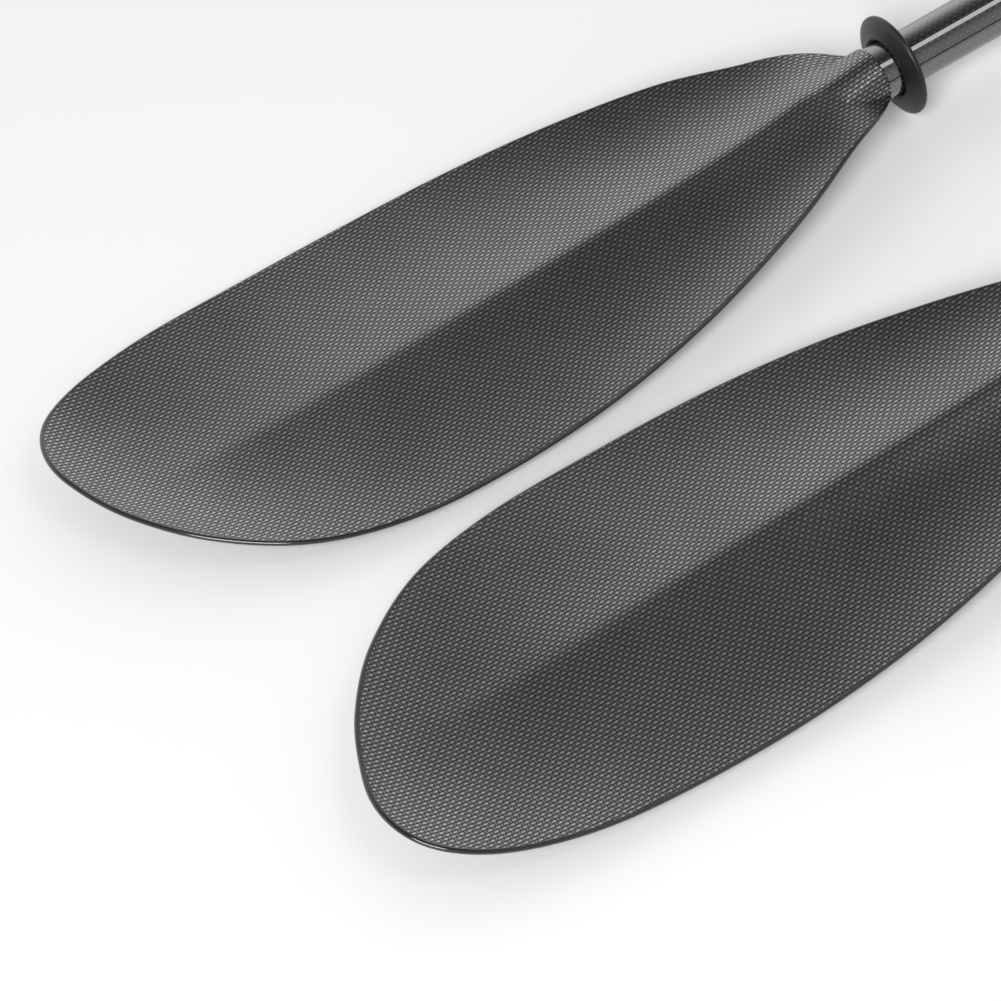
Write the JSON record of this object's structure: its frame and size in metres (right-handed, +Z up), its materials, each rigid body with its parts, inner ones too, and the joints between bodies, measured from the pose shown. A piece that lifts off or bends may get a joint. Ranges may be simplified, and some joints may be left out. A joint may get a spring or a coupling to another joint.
{
  "type": "kayak paddle",
  "caption": "Take-apart double-bladed paddle in woven carbon: spoon blades with a ridge, drip rings, and a tube shaft joined by a push-button ferrule.",
  "frame": {"origin": "on the floor under the middle of the two halves as they lie side by side", "axes": "+X from the blade tips toward the ferrule ends, +Y from half B to half A, +Z up, out of the power faces"},
  "size_m": [1.1912, 0.379, 0.0687],
  "materials": {
    "carbon_face": "satin",
    "carbon_back": "satin",
    "carbon_tube": "gloss",
    "edge_resin": "gloss",
    "core_foam": "matte",
    "ring_rubber": "satin",
    "glass_tube": "satin",
    "plug_foam": "matte",
    "plug_plastic": "satin",
    "steel": "satin"
  },
  "bodies": {
    "half_a": {"blade_a_face_skin": "carbon_face", "blade_a_back_skin": "carbon_back", "blade_a_core": "core_foam", "blade_a_edge_bead": "edge_resin", "shaft_a": "carbon_tube", "shaft_plug_a": "plug_foam", "ferrule_sleeve": "glass_tube"},
    "ring_a": {"drip_ring_a": "ring_rubber"},
    "ring_b": {"drip_ring_b": "ring_rubber"},
    "half_b": {"blade_b_face_skin": "carbon_face", "blade_b_back_skin": "carbon_back", "blade_b_core": "core_foam", "blade_b_edge_bead": "edge_resin", "shaft_b": "carbon_tube", "shaft_plug_b": "plug_foam", "ferrule_insert": "glass_tube", "ferrule_o_ring": "ring_rubber", "ferrule_plug": "plug_plastic"},
    "button": {"snap_button": "steel", "snap_spring": "steel"}
  },
  "joints": [
    {"name": "ring_slide", "type": "slide", "parent": "half_a", "child": "ring_a", "axis": [0.9992, 0, 0.0393], "range_m": [0, 0.14]},
    {"name": "swing", "type": "hinge", "parent": "half_a", "child": "ring_b", "pos_m": [0.5427, 0, 0.05356], "axis": [-0.0393, 0, 0.9992], "range_deg": [0, 180]},
    {"name": "insert", "type": "slide", "parent": "ring_b", "child": "half_b", "axis": [0.9992, 0, 0.0393], "range_m": [0, 0.0946]},
    {"name": "button_press", "type": "slide", "parent": "half_b", "child": "button", "axis": [0.0393, 0, -0.9992], "range_m": [0, 0.0034], "stiffness_N_per_m": 2000}
  ]
}
